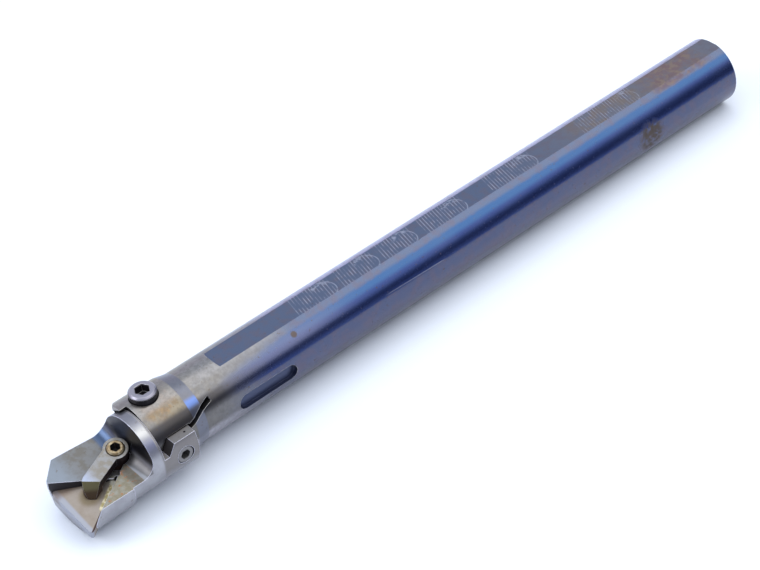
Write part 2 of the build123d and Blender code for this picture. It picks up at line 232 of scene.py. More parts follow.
class Steel:
    """A material, the place of a point on its piece, and the look laid so far."""

    def __init__(self, name, colour, roughness, metal):
        self.material = bpy.data.materials.new(name)
        self.material.use_nodes = True
        self.tree = self.material.node_tree
        self.place = add(self.tree, "ShaderNodeTexCoord").outputs["Object"]
        self.x, self.y, self.z = add(self.tree, "ShaderNodeSeparateXYZ", {0: self.place}).outputs
        turn = calc("ARCTAN2", calc("ABSOLUTE", self.y), self.z)
        self.round = calc("MULTIPLY", turn, degrees(1.0))
        self.look = {"Base Color": colour, "Roughness": roughness, "Metallic": metal}

    def effect(self, group, **values):
        """Puts a shared effect in this material and returns its output."""
        return add(self.tree, "ShaderNodeGroup", values, node_tree=group).outputs[0]

    def patches(self, scale, level, softness=PATCH_SOFTNESS):
        """Ragged stains: a larger scale makes them smaller, and a higher level fewer."""
        return self.effect(patches, Vector=self.place, Scale=scale, Level=level, Softness=softness)

    def spot(self, centre, radius):
        """A round mark."""
        return self.effect(spot, Vector=self.place, Centre=centre, Radius=radius)

    def corners(self, distance, shut, open_air):
        """1 in inner corners and crevices; shut and open_air are shares of open sky."""
        return self.effect(dirt_and_shade_corners, Distance=distance, Open=open_air, Shut=shut)

    def rims(self, radius, start=EDGE_START, full=EDGE_FULL):
        """1 along outer edges; start and full say how far the rounded normal has turned."""
        return self.effect(rubbed_and_highlight_edges, Radius=radius, Start=1.0 - start, Full=1.0 - full)

    def facing(self, direction, start, full):
        """1 where the surface faces the direction; start and full are cosines."""
        normal = add(self.tree, "ShaderNodeTexCoord").outputs["Normal"]
        return fade(measure("DOT_PRODUCT", normal, Vector(direction).normalized()), start, full)

    def reach(self, centre, axis):
        """The distance from a tilted axis and the height along it."""
        inputs = {0: self.place, 1: centre}
        offset = add(self.tree, "ShaderNodeVectorMath", inputs, operation="SUBTRACT").outputs["Vector"]
        height = measure("DOT_PRODUCT", offset, Vector(axis).normalized())
        square = measure("DOT_PRODUCT", offset, offset)
        return calc("SQRT", calc("SUBTRACT", square, times(height, height))), height

    def lay(self, mask, colour, strength=1.0, roughness=None, metal=None):
        """Lays a colour over the piece where the mask is 1, and can change the sheen there."""
        factor = times(mask, strength)
        self.look["Base Color"] = mix_colours(factor, self.look["Base Color"], colour)
        for name, value in (("Roughness", roughness), ("Metallic", metal)):
            if value is not None:
                self.look[name] = mix_numbers(factor, self.look[name], value)

    def finish(self, edge=EDGE_RADIUS):
        """Adds the grain on softly rounded edges, feeds the shader and returns the material."""
        rounded = add(self.tree, "ShaderNodeBevel", {"Radius": edge}, samples=BEVEL_SAMPLES)
        height = self.effect(grain, Vector=self.place)
        inputs = {"Height": height, "Distance": 1.0, "Normal": rounded.outputs[0]}
        normal = add(self.tree, "ShaderNodeBump", inputs).outputs[0]
        feed(self.tree.nodes["Principled BSDF"], {**self.look, "Normal": normal})
        return self.material


print("steel finishes round their edges by", EDGE_RADIUS * 1000, "mm")

# %% [markdown]
# ## The bar: blued steel
# The bar is ground steel with a thin blue-black oxide. Round the axis it is light on the
# shoulder, deep blue at the side and greyer below, partly from the oxide and partly as
# painted highlight and painted reflection. Lights and reflections could give that part.
# Here the tones are laid as colour, in bands by the angle round the axis, because each then
# lies just where it should. The cost is that they stay in place when the view turns.

# %% Oxide tones and painted reflections round the bar
SHOULDER = rgb(0.115, 0.14, 0.215)
BLUED = rgb(0.05, 0.11, 0.245)
NAVY = rgb(0.04, 0.062, 0.185)
LOWER_SIDE = rgb(0.09, 0.102, 0.17)
UNDERSIDE = rgb(0.12, 0.125, 0.19)
FAR_EDGE_REFLECTION = rgb(0.4, 0.39, 0.58)
# Each tone, partly oxide and partly painted reflection, and the degrees from the top at which it begins and
# is full.
TONES = (
    (BLUED, 28.0, 35.0),
    (NAVY, 39.0, 48.0),
    (LOWER_SIDE, 67.0, 70.0),
    (UNDERSIDE, 80.0, 100.0),
)
FAR_EDGE_REFLECTION_Y = (-0.004, -0.0046)
FAR_EDGE_REFLECTION_ROUND = (60.0, 40.0)

bar = Steel("blued_steel", SHOULDER, roughness=0.26, metal=0.95)
for colour, begins, full in TONES:
    bar.lay(fade(bar.round, begins, full), colour)
# A pale lavender painted reflection along the far side's upper edge.
far_edge_reflection = times(fade(bar.y, *FAR_EDGE_REFLECTION_Y), fade(bar.round, *FAR_EDGE_REFLECTION_ROUND))
bar.lay(far_edge_reflection, FAR_EDGE_REFLECTION, strength=0.8)
print("tones round the bar:", len(TONES))

# %% [markdown]
# ## The upper flat
# A flat is milled along the top, for a holder's screws to press on. It is slate grey and
# duller than the round. A mask by height alone would also catch a line of the round, so it
# asks for an upward face too.

# %% Milled flat
SLATE = rgb(0.1, 0.126, 0.202)
REAR_GREY = rgb(0.17, 0.17, 0.2)
FLAT_Z = (0.0118, 0.0121)
FLAT_SOFT = 0.0001
LEVEL_COSINES = (0.98, 0.995)
REAR_GREY_X = (0.12, 0.05)

level = bar.facing((0.0, 0.0, 1.0), *LEVEL_COSINES)
on_flat = times(level, between(bar.z, *FLAT_Z, soft=FLAT_SOFT))
off_flat = calc("SUBTRACT", 1.0, on_flat)
bar.lay(on_flat, SLATE, roughness=0.4)
bar.lay(times(on_flat, fade(bar.x, *REAR_GREY_X)), REAR_GREY, strength=0.8)
print("flat at z from", FLAT_Z[0], "to", FLAT_Z[1])

# %% [markdown]
# ## Clouds and stains
# Old bluing is never even. Wide soft patches lighten it, and small brownish stains dull it
# everywhere but on the clean band from the shoulder to the side. One noise at one size
# would look like camouflage, so two sizes are laid, both faintly.

# %% Clouds and stains on the bar
STAIN = rgb(0.15, 0.11, 0.13)
CLEAN_ROUND = (34.0, 68.0)
CLEAN_SOFT = 2.0

cloudy = bar.patches(scale=60.0, level=0.52, softness=0.2)
bar.lay(cloudy, SHOULDER, strength=0.15)
stains = bar.patches(scale=260.0, level=0.53, softness=0.1)
clean_band = between(bar.round, *CLEAN_ROUND, soft=CLEAN_SOFT)
bar.lay(most(calc("SUBTRACT", stains, clean_band), 0.0), STAIN, strength=0.35)
print("clean band from", CLEAN_ROUND[0], "to", CLEAN_ROUND[1], "degrees")

# %% [markdown]
# ## Worn bare towards the collar
# Near the head the oxide has gone and warm grey steel shows. The blue first turns grey on
# the shoulder, then ends in a soft, uneven line that lies further forward at the side. A
# straight fade along X would look machined, so the angle and the clouds shift it.

# %% Where the bluing ends
GREYED = rgb(0.15, 0.155, 0.235)
BARE = rgb(0.23, 0.22, 0.22)
WORN_X = (0.209, 0.242)
WORN_SHIFT = 0.016
WORN_SHIFT_ROUND = (30.0, 45.0)
CLOUD_SHIFT = 0.01
GREYED_X = (0.178, 0.215)
GREYED_ROUND = (32.0, 58.0)
GREYED_SOFT = 8.0

shift = times(fade(bar.round, *WORN_SHIFT_ROUND), WORN_SHIFT)
shifted_x = calc("SUBTRACT", calc("ADD", bar.x, times(cloudy, CLOUD_SHIFT)), shift)
worn = times(fade(shifted_x, *WORN_X), off_flat)
greyed = times(between(bar.round, *GREYED_ROUND, soft=GREYED_SOFT), fade(bar.x, *GREYED_X), off_flat)
bar.lay(greyed, GREYED, strength=0.65)
bar.lay(worn, BARE, roughness=0.3)
print("bluing gone beyond x =", WORN_X[1])

# %% [markdown]
# ## Stains and painted light on the bare steel
# Bare steel by the jaw is stained tan, and browner round the cap screw. Round the bar it
# carries painted light: a painted highlight on top, a dark painted reflection on the
# shoulder, painted shade at the side and a bright painted reflection below. As on the blued
# part, these are laid in bands by the angle.

# %% Stains by the jaw and its screw
TAN = rgb(0.27, 0.22, 0.145)
SCREW_BROWN = rgb(0.3, 0.17, 0.07)
JAW_X = (0.235, 0.258)
CAP_SCREW_PLACE = (0.264, 0.003, 0.0136)
CAP_SCREW_REACH = 0.008

tan_patches = bar.patches(scale=130.0, level=0.44, softness=0.14)
bar.lay(times(tan_patches, fade(bar.x, *JAW_X)), TAN, strength=0.75)
brownish = bar.patches(scale=300.0, level=0.5, softness=0.1)
bar.lay(times(brownish, bar.spot(CAP_SCREW_PLACE, CAP_SCREW_REACH)), SCREW_BROWN, strength=0.5)
print("brown stains within", CAP_SCREW_REACH * 1000, "mm of the cap screw")

# %% Painted highlight, reflections and shade round the bare steel
BARE_TOP_HIGHLIGHT = rgb(0.33, 0.32, 0.33)
BARE_SIDE_SHADE = rgb(0.14, 0.14, 0.15)
DARK_REFLECTION = rgb(0.045, 0.042, 0.05)
BARE_BELOW_REFLECTION = rgb(0.5, 0.48, 0.54)
MOTTLE = rgb(0.08, 0.075, 0.07)
BARE_TOP_HIGHLIGHT_ROUND = (30.0, 19.0)
BARE_SIDE_SHADE_ROUND = (60.0, 68.0)
DARK_REFLECTION_ROUND = (43.0, 66.0)
DARK_REFLECTION_SOFT = 5.0
BARE_BELOW_REFLECTION_ROUND = (92.0, 104.0)

# Painted light: highlight on top, shade at the side, a dark reflection on the shoulder and a bright
# reflection below.
bar.lay(times(worn, fade(bar.round, *BARE_TOP_HIGHLIGHT_ROUND)), BARE_TOP_HIGHLIGHT, strength=0.6)
bar.lay(times(worn, fade(bar.round, *BARE_SIDE_SHADE_ROUND)), BARE_SIDE_SHADE, strength=0.7)
bar.lay(times(worn, between(bar.round, *DARK_REFLECTION_ROUND, soft=DARK_REFLECTION_SOFT)), DARK_REFLECTION, strength=0.85)
bar.lay(times(worn, fade(bar.round, *BARE_BELOW_REFLECTION_ROUND)), BARE_BELOW_REFLECTION, strength=0.8)
mottled = bar.patches(scale=700.0, level=0.5, softness=0.2)
bar.lay(times(worn, mottled), MOTTLE, strength=0.35)
print("tarnish from", DARK_REFLECTION_ROUND[0], "to", DARK_REFLECTION_ROUND[1], "degrees")

# %% [markdown]
# ## The cone
# A short cone joins the bar to the collar. It is turned and bare, cooler in tone than the
# round, with a painted blue reflection of the sky on its shoulders. It lies between two
# values of X, so a box mask finds it.

# %% Turned cone
CONE_GREY = rgb(0.16, 0.17, 0.22)
CONE_SKY_REFLECTION = rgb(0.17, 0.27, 0.62)
CONE_X = (0.2521, 0.2567)
CONE_SOFT = 0.0002
CONE_SKY_REFLECTION_ROUND = (36.0, 48.0)
CONE_SKY_REFLECTION_SOFT = 4.0

on_cone = between(bar.x, *CONE_X, soft=CONE_SOFT)
bar.lay(on_cone, CONE_GREY, strength=0.7)
# A painted blue reflection of the sky on the cone's shoulders.
sky_reflection = between(bar.round, *CONE_SKY_REFLECTION_ROUND, soft=CONE_SKY_REFLECTION_SOFT)
bar.lay(times(on_cone, sky_reflection), CONE_SKY_REFLECTION, strength=0.85)
print("cone from x =", CONE_X[0], "to", CONE_X[1])

# %% [markdown]
# ## Scuffs on the flat
# The flat has groups of marks, most likely from a holder's set screws: fine slanted lines
# that end in an arc, with a pale smear beside it. They could be modelled, but they are too
# shallow to cast a shadow, so they are colour. A sine wave over a slanted position gives
# the lines, the distance from a centre gives the arc, and one rule makes every group.

# %% Lines of the scuffs
SCUFF = rgb(0.38, 0.4, 0.5)
LINE_PITCH = 0.00125
LINE_SLANT = 0.22
LINE_CREST = (0.35, 1.0)
LINE_SOFT = 0.0006

slanted = calc("SUBTRACT", bar.x, times(bar.y, LINE_SLANT))
wave = calc("SINE", times(slanted, tau / LINE_PITCH))
broken = bar.patches(scale=260.0, level=0.5, softness=0.14)
lines = times(fade(wave, *LINE_CREST), broken)
print("scuff lines every", LINE_PITCH * 1000, "mm")

# %% Arcs and smears of the scuffs
# Where each group's arc stands, and where its lines end, along X.
SCUFF_SPANS = (
    (0.1875, 0.2047),
    (0.1687, 0.1850),
    (0.1513, 0.1662),
    (0.1280, 0.1468),
    (0.0940, 0.1158),
    (0.0425, 0.0703),
)
ARC_RADIUS = 0.0047
ARC_WIDTH = 0.0003
ARC_SOFT = 0.00015
ARC_INSET = 0.83 * ARC_RADIUS
ARC_OFFSET = 0.0007
ARC_END = 0.001
FLAT_HEIGHT = 0.01194
SMEAR_START = 0.65 * ARC_RADIUS
SMEAR_SOFT = 0.0003
SMEAR_Y = (-0.0005, -0.003)


def scuff(rear, front):
    """One group of marks: lines up to front, and an arc and a smear at rear."""
    centre = (rear + ARC_INSET, ARC_OFFSET, FLAT_HEIGHT)
    distance = measure("DISTANCE", bar.place, centre)
    rear_half = fade(bar.x, centre[0] + ARC_END, centre[0] - ARC_END)
    arc = between(distance, ARC_RADIUS - ARC_WIDTH, ARC_RADIUS, soft=ARC_SOFT)
    arc = times(arc, rear_half, bar.patches(scale=500.0, level=0.4, softness=0.12))
    smear = between(distance, SMEAR_START, ARC_RADIUS, soft=SMEAR_SOFT)
    smear = times(smear, fade(bar.y, *SMEAR_Y), bar.patches(scale=600.0, level=0.53, softness=0.07))
    return most(times(between(slanted, rear, front, soft=LINE_SOFT), lines), arc, smear)


scuffs = most(*(scuff(rear, front) for rear, front in SCUFF_SPANS))
bar.lay(times(scuffs, on_flat), SCUFF, strength=0.75)
print("groups of scuffs:", len(SCUFF_SPANS))

# %% [markdown]
# ## Rust and dust near the rear end
# The rear end has rusted along the top, and ahead of the rust the flat holds brown dust.
# Rust is no longer metal, so it lowers Metallic and raises Roughness as well as changing
# the colour.

# %% Rust and dust
RUST = rgb(0.16, 0.07, 0.055)
RUST_DUST = rgb(0.22, 0.17, 0.13)
DUST = rgb(0.2, 0.15, 0.11)
RUST_X = (0.009, 0.036)
RUST_X_SOFT = 0.005
RUST_Y = (-0.0045, 0.0062)
RUST_Y_SOFT = 0.0008
DUST_X = (0.036, 0.074)
DUST_SOFT = 0.008

rusty = times(
    bar.patches(scale=150.0, level=0.44, softness=0.12),
    between(bar.x, *RUST_X, soft=RUST_X_SOFT),
    between(bar.y, *RUST_Y, soft=RUST_Y_SOFT),
)
bar.lay(rusty, RUST, strength=0.55, roughness=0.6, metal=0.4)
bar.lay(times(rusty, bar.patches(scale=420.0, level=0.52)), RUST_DUST, strength=0.6)
dusty = times(bar.patches(scale=170.0, level=0.5, softness=0.12), between(bar.x, *DUST_X, soft=DUST_SOFT))
bar.lay(times(dusty, on_flat), DUST, strength=0.6, roughness=0.5)
print("rust from x =", RUST_X[0], "to", RUST_X[1])

# %% [markdown]
# ## Single marks
# A few marks stand alone: one long scratch on the side, a patch of old rust near the rear
# end and two brown spots. They are placed one by one, because chance would put them
# elsewhere.

# %% The scratch
SCRATCH_X = (0.148, 0.1732)
SCRATCH_X_SOFT = 0.002
SCRATCH_RISE = 0.02
SCRATCH_Z = 0.0047
SCRATCH_WIDTH = (0.00012, 0.00005)
NEAR_SIDE_Y = (0.010, 0.011)

scratch_height = calc("ADD", times(calc("SUBTRACT", bar.x, SCRATCH_X[0]), SCRATCH_RISE), SCRATCH_Z)
scratch_offset = calc("ABSOLUTE", calc("SUBTRACT", bar.z, scratch_height))
scratch = times(
    fade(scratch_offset, *SCRATCH_WIDTH),
    between(bar.x, *SCRATCH_X, soft=SCRATCH_X_SOFT),
    fade(bar.y, *NEAR_SIDE_Y),
)
bar.lay(scratch, PALE, strength=0.5)
print("scratch", (SCRATCH_X[1] - SCRATCH_X[0]) * 1000, "mm long")

# %% Old rust and spots
OLD_RUST = rgb(0.075, 0.05, 0.03)
OLD_RUST_PLACE = (0.046, 0.0125, 0.0006)
OLD_RUST_RADIUS = 0.0062
# The place and the radius of each brown spot.
BROWN_SPOTS = (
    ((0.211, 0.008, 0.0098), 0.0012),
    ((0.226, 0.0127, -0.006), 0.0015),
)

ragged = bar.patches(scale=600.0, level=0.47, softness=0.1)
old_rust = times(ragged, bar.spot(OLD_RUST_PLACE, OLD_RUST_RADIUS))
bar.lay(old_rust, OLD_RUST, strength=0.85, roughness=0.7, metal=0.3)
for place, radius in BROWN_SPOTS:
    bar.lay(bar.spot(place, radius), BROWN, strength=0.8, roughness=0.6, metal=0.4)
bar.lay(bar.patches(scale=900.0, level=0.66, softness=0.03), BROWN, strength=0.5, roughness=0.6)
print("brown spots:", len(BROWN_SPOTS))

# %% [markdown]
# ## The slot, the corners and the edges
# The slot in the side is milled and still blue. Its box goes over the corner darkening of
# dirt and painted shade, which would blacken so narrow a slot. The slits by the jaw stay
# black with dirt and painted shade, and every outer edge is made pale, as rubbed wear and
# painted highlight.

# %% Finish the bar
SLOT_BLUE = rgb(0.075, 0.088, 0.15)
SLOT_X = (0.2147, 0.2389)
SLOT_Y = (0.006, 0.0123)
SLOT_Z = (-0.0033, 0.0029)
SLOT_X_SOFT = 0.0002
SLOT_Y_SOFT = 0.00008
SLOT_Z_SOFT = 0.0001

# Dirt and painted shade in the bar's corners and slits.
bar.lay(bar.corners(distance=0.003, shut=0.35, open_air=0.7), SOOT_AND_SHADE, strength=0.9, roughness=0.6)
# Outer edges made pale, as rubbed wear and painted highlight.
bar.lay(bar.rims(EDGE_RADIUS), PALE, strength=0.7)
in_slot = times(
    between(bar.y, *SLOT_Y, soft=SLOT_Y_SOFT),
    between(bar.z, *SLOT_Z, soft=SLOT_Z_SOFT),
    between(bar.x, *SLOT_X, soft=SLOT_X_SOFT),
)
bar.lay(in_slot, SLOT_BLUE, strength=0.95, roughness=0.4)
bar_steel = bar.finish()
print("bar's finish:", len(bar.tree.nodes), "nodes")

# %% [markdown]
# ## The head: bare steel
# The head is steel without bluing, bright with dull patches. The block between the jaws is
# darker, and the turned ring in front of them carries painted light: painted shade on top,
# a painted highlight on the shoulder and bluish painted shade at the side. These are laid
# as colour too, and stay put when the view turns.

# %% The block and the ring
HEAD_BRIGHT = rgb(0.38, 0.375, 0.4)
HEAD_DULL = rgb(0.3, 0.29, 0.31)
BLOCK_GREY = rgb(0.19, 0.17, 0.16)
RIM_SIDE_SHADE = rgb(0.13, 0.14, 0.24)
RIM_TOP_SHADE = rgb(0.17, 0.17, 0.21)
BLOCK_X = (0.2738, 0.2728)
BLOCK_Z = (-0.007, -0.002)
RIM_X = (0.2735, 0.2777)
RIM_SOFT = 0.0002
RIM_SIDE_SHADE_ROUND = (52.0, 66.0)
RIM_SIDE_SHADE_SOFT = 7.0
RIM_HIGHLIGHT_ROUND = (36.0, 46.0)
RIM_HIGHLIGHT_SOFT = 5.0
RIM_TOP_SHADE_ROUND = (36.0, 24.0)

head = Steel("bare_steel", HEAD_BRIGHT, roughness=0.34, metal=0.85)
dull_patches = head.patches(scale=190.0, level=0.5, softness=0.14)
head.lay(dull_patches, HEAD_DULL, strength=0.6, roughness=0.42)
head.lay(times(fade(head.x, *BLOCK_X), fade(head.z, *BLOCK_Z)), BLOCK_GREY, strength=0.8)
on_rim = between(head.x, *RIM_X, soft=RIM_SOFT)
# Painted light on the ring: bluish shade at the side, a highlight on the shoulder and shade on top.
head.lay(times(on_rim, between(head.round, *RIM_SIDE_SHADE_ROUND, soft=RIM_SIDE_SHADE_SOFT)), RIM_SIDE_SHADE, strength=0.75)
head.lay(times(on_rim, between(head.round, *RIM_HIGHLIGHT_ROUND, soft=RIM_HIGHLIGHT_SOFT)), PALE, strength=0.7)
head.lay(times(on_rim, fade(head.round, *RIM_TOP_SHADE_ROUND)), RIM_TOP_SHADE, strength=0.7)
print("ring from x =", RIM_X[0], "to", RIM_X[1])

# %% [markdown]
# ## The deck and the land
# In front of the ring the head is cut away to a high deck on the far side and a low land on
# the near side. The deck is grey with brown patches and bluer at its front. The land is
# paler, with yellowish stains and orange specks. A face is found by the direction that it
# looks in, which is simpler than splitting the mesh.

# %% The deck
DECK = (-0.113, 0.224, 0.968)
FACE_COSINES = (0.985, 0.995)
AHEAD_X = (0.2775, 0.2785)
DECK_GREY = rgb(0.18, 0.18, 0.185)
DECK_BROWN = rgb(0.13, 0.11, 0.08)
DECK_FRONT = rgb(0.24, 0.275, 0.33)
DECK_FRONT_X = (0.292, 0.301)

ahead = fade(head.x, *AHEAD_X)
deck = times(head.facing(DECK, *FACE_COSINES), ahead)
head.lay(deck, DECK_GREY, strength=0.95, roughness=0.4)
head.lay(times(deck, head.patches(scale=330.0, level=0.52, softness=0.1)), DECK_BROWN, strength=0.5)
head.lay(times(deck, fade(head.x, *DECK_FRONT_X)), DECK_FRONT, strength=0.8)
print("deck faces", DECK)

# %% The land
LAND = (-0.009, 0.035, 0.999)
LAND_GREY = rgb(0.36, 0.34, 0.28)
LAND_STAIN = rgb(0.24, 0.18, 0.08)
ORANGE = rgb(0.45, 0.17, 0.05)
LAND_SHADE = rgb(0.12, 0.1, 0.09)
LAND_SHADE_X = (0.2855, 0.2842)

land = times(head.facing(LAND, *FACE_COSINES), ahead)
head.lay(land, LAND_GREY, strength=0.9, roughness=0.45)
land_stains = head.patches(scale=420.0, level=0.48, softness=0.12)
head.lay(times(land, land_stains), LAND_STAIN, strength=0.5, roughness=0.5)
specks = head.patches(scale=500.0, level=0.6, softness=0.03)
head.lay(times(land, specks), ORANGE, strength=0.8, roughness=0.7, metal=0.2)
head.lay(times(land, fade(head.x, *LAND_SHADE_X)), LAND_SHADE, strength=0.5)
print("land faces", LAND)

# %% [markdown]
# ## Where the pocket meets the ring
# A rounded fillet runs from the ring down to the pocket, with brown painted shade on the
# near side and a deep blue painted reflection on the far side. A fillet curves, so no one
# direction finds it, and its place does.

# %% The two fillets
NEAR_FILLET_SHADE = rgb(0.11, 0.1, 0.095)
NEAR_FILLET_X = (0.2778, 0.2822)
NEAR_FILLET_X_SOFT = 0.0005
NEAR_FILLET_Y = (0.003, 0.005)
NEAR_FILLET_Z = (0.0003, 0.0006)
FAR_FILLET_REFLECTION = rgb(0.035, 0.07, 0.15)
FAR_FILLET_X = (0.2778, 0.2824)
FAR_FILLET_X_SOFT = 0.0008
FAR_FILLET_Y = (0.0005, -0.0015)

# Brown painted shade on the near fillet.
near_fillet_shade = times(
    between(head.x, *NEAR_FILLET_X, soft=NEAR_FILLET_X_SOFT),
    fade(head.y, *NEAR_FILLET_Y),
    fade(head.z, *NEAR_FILLET_Z),
)
head.lay(near_fillet_shade, NEAR_FILLET_SHADE, strength=0.75)
head.lay(head.patches(scale=520.0, level=0.66, softness=0.03), BROWN, strength=0.4, roughness=0.6)
# A deep blue painted reflection on the far fillet.
far_fillet_reflection = times(between(head.x, *FAR_FILLET_X, soft=FAR_FILLET_X_SOFT), fade(head.y, *FAR_FILLET_Y))
head.lay(far_fillet_reflection, FAR_FILLET_REFLECTION, strength=0.9, roughness=0.3)
print("fillets from x =", NEAR_FILLET_X[0], "to", FAR_FILLET_X[1])

# %% [markdown]
# ## Painted shade on walls, grit and painted glints
# The pocket's far wall, the gullet behind it and the notch in the ring are nearly black with
# dirt and shade. Shade alone stays grey under soft light, so they are painted black, partly
# dirt and partly painted shade. A pale mark in the pocket's corner is taken for grit. Outer
# edges carry a painted glint, and a punch dot marks the near side.

# %% Walls painted black with dirt and painted shade
FAR_WALL = (0.48, 0.87, -0.12)
FAR_WALL_COSINES = (0.93, 0.98)
FAR_WALL_X = (0.284, 0.285)
FORWARD = (1.0, 0.0, 0.0)
GULLET_COSINES = (0.8, 0.97)
GULLET_X = (0.283, 0.281)
NOTCH = (1.0, 0.0, 1.0)
NOTCH_COSINES = (0.9, 0.97)
NOTCH_X = (0.2735, 0.273)

# The far wall, the gullet and the notch are painted black: dirt and painted shade.
far_wall = times(head.facing(FAR_WALL, *FAR_WALL_COSINES), fade(head.x, *FAR_WALL_X))
head.lay(far_wall, SOOT_AND_SHADE, strength=0.97, roughness=0.6, metal=0.3)
gullet = times(head.facing(FORWARD, *GULLET_COSINES), fade(head.x, *GULLET_X))
head.lay(gullet, SOOT_AND_SHADE, strength=0.9, roughness=0.35)
notch = times(head.facing(NOTCH, *NOTCH_COSINES), fade(head.x, *NOTCH_X))
head.lay(notch, SOOT_AND_SHADE, strength=0.97, roughness=0.7, metal=0.2)
# Dirt and painted shade in the head's inner corners.
head.lay(head.corners(distance=0.0025, shut=0.3, open_air=0.65), SOOT_AND_SHADE, strength=0.85, roughness=0.6)
print("blackened: far wall, gullet, notch and corners")

# %% Grit, painted edge glints and the punch dot
GRIT = rgb(0.42, 0.4, 0.34)
GRIT_PLACE = (0.2868, 0.0082, -0.0022)
GRIT_RADIUS = 0.0019
GLINT = rgb(0.8, 0.8, 0.95)
GLINT_RADIUS = 0.00028
PUNCH_PLACE = (0.2621, 0.0140, 0.0056)
PUNCH_RADIUS = 0.00045

head.lay(head.spot(GRIT_PLACE, GRIT_RADIUS), GRIT, strength=0.85)
# A painted glint along the head's outer edges.
head.lay(head.rims(GLINT_RADIUS, start=0.01, full=0.08), GLINT, strength=0.9)
head.lay(head.spot(PUNCH_PLACE, PUNCH_RADIUS), SOOT_AND_SHADE)
head_steel = head.finish()
print("head's finish:", len(head.tree.nodes), "nodes")

# %% [markdown]
# ## The clamp
# The clamp is a finger that presses on the cutting insert. Its sides are painted nearly
# black as shade, its top is rubbed grey with a painted highlight at its front, and its
# bevelled nose is golden. It stands square to the rake, the tilted plane that the insert
# lies in, so its top is found by that plane's direction.

# %% The clamp's faces
RAKE = (0.050998, 0.224658, 0.973102)
SIDE_SHADE_BLACK = rgb(0.02, 0.01, 0.012)
NOSE_GOLD = rgb(0.24, 0.21, 0.09)
LOW_BROWN = rgb(0.05, 0.02, 0.01)
UPWARD_COSINES = (0.3, 0.4)
FORWARD_COSINES = (0.5, 0.7)
LOW_BROWN_Z = (0.0008, -0.0012)

# The clamp's base colour is painted shade for its dark sides.
clamp = Steel("worn_steel", SIDE_SHADE_BLACK, roughness=0.6, metal=0.5)
nose_bevel = times(clamp.facing(RAKE, *UPWARD_COSINES), clamp.facing(FORWARD, *FORWARD_COSINES))
clamp.lay(nose_bevel, NOSE_GOLD, strength=0.9, roughness=0.5)
clamp.lay(fade(clamp.z, *LOW_BROWN_Z), LOW_BROWN, strength=0.8)
print("clamp brown below z =", LOW_BROWN_Z[1])

# %% The clamp's rubbed top, its painted highlight and its edges
CLAMP_GREY = rgb(0.27, 0.265, 0.27)
CLAMP_RUBBED = rgb(0.22, 0.18, 0.12)
RIDGE_HIGHLIGHT = rgb(0.4, 0.45, 0.6)
CLAMP_TOP_COSINES = (0.85, 0.95)
RIDGE_HIGHLIGHT_X = (0.2915, 0.2965)

clamp_top = clamp.facing(RAKE, *CLAMP_TOP_COSINES)
clamp.lay(clamp_top, CLAMP_GREY, roughness=0.38, metal=0.85)
rubbed = times(clamp_top, clamp.patches(scale=480.0, level=0.5, softness=0.1))
clamp.lay(rubbed, CLAMP_RUBBED, strength=0.5, roughness=0.5)
# A pale blue painted highlight along the front of the clamp's top.
clamp.lay(times(clamp_top, fade(clamp.x, *RIDGE_HIGHLIGHT_X)), RIDGE_HIGHLIGHT, strength=0.8)
# Outer edges made pale, as rubbed wear and painted highlight.
clamp.lay(clamp.rims(EDGE_RADIUS), PALE, strength=0.6)
clamp_steel = clamp.finish()
print("clamp's finish:", len(clamp.tree.nodes), "nodes")

# %% [markdown]
# ## The screws
# The clamp's screw is golden brown, and its hexagon socket is painted black. Occlusion
# would darken the rim too, so the socket is found by its distance from the screw's own
# tilted axis. The cap screw is black oxide with a rubbed top and pale edges of rubbed wear
# and painted highlight, and the adjusting screw is plain dull steel with dirt and painted
# shade in its corners.

# %% The clamp's screw
CLAMP_SCREW_PLACE = (0.28155, 0.00307, 0.00475)
GOLDEN = rgb(0.42, 0.34, 0.22)
GOLDEN_BROWN = rgb(0.2, 0.12, 0.05)
SOCKET_RADIUS = (0.0019, 0.00175)
SOCKET_TOP = (0.00078, 0.0007)

clamp_screw = Steel("brown_screw", GOLDEN, roughness=0.4, metal=0.8)
clamp_screw.lay(clamp_screw.patches(scale=900.0, level=0.5, softness=0.1), GOLDEN_BROWN, strength=0.7)
from_axis, above = clamp_screw.reach(CLAMP_SCREW_PLACE, RAKE)
in_socket = times(fade(from_axis, *SOCKET_RADIUS), fade(above, *SOCKET_TOP))
# The hexagon socket is painted black.
clamp_screw.lay(in_socket, SOOT_AND_SHADE, roughness=0.6, metal=0.2)
golden_steel = clamp_screw.finish()
print("socket's dirt within", SOCKET_RADIUS[0] * 1000, "mm of the axis")

# %% The cap screw and the adjusting screw
BLACK_OXIDE = rgb(0.02, 0.018, 0.022)
RUBBED_TOP = rgb(0.36, 0.34, 0.4)
RUBBED_TOP_Z = (0.0155, 0.0158)
CAP_RUB_AND_HIGHLIGHT_RADIUS = 0.0003
CAP_EDGE_RADIUS = 0.0004
DULL_GREY = rgb(0.22, 0.21, 0.21)

cap_screw = Steel("black_screw", BLACK_OXIDE, roughness=0.4, metal=0.6)
cap_screw.lay(fade(cap_screw.z, *RUBBED_TOP_Z), RUBBED_TOP, strength=0.85, roughness=0.32, metal=0.9)
# Edges made pale, as rubbed wear and painted highlight.
cap_screw.lay(cap_screw.rims(CAP_RUB_AND_HIGHLIGHT_RADIUS), PALE, strength=0.8)
black_steel = cap_screw.finish(edge=CAP_EDGE_RADIUS)

adjuster = Steel("dull_screw", DULL_GREY, roughness=0.4, metal=0.8)
# Dirt and painted shade in the adjusting screw's corners.
adjuster.lay(adjuster.corners(distance=0.002, shut=0.3, open_air=0.6), SOOT_AND_SHADE, strength=0.95)
dull_steel = adjuster.finish()
print("screw finishes:", [black_steel.name, dull_steel.name])

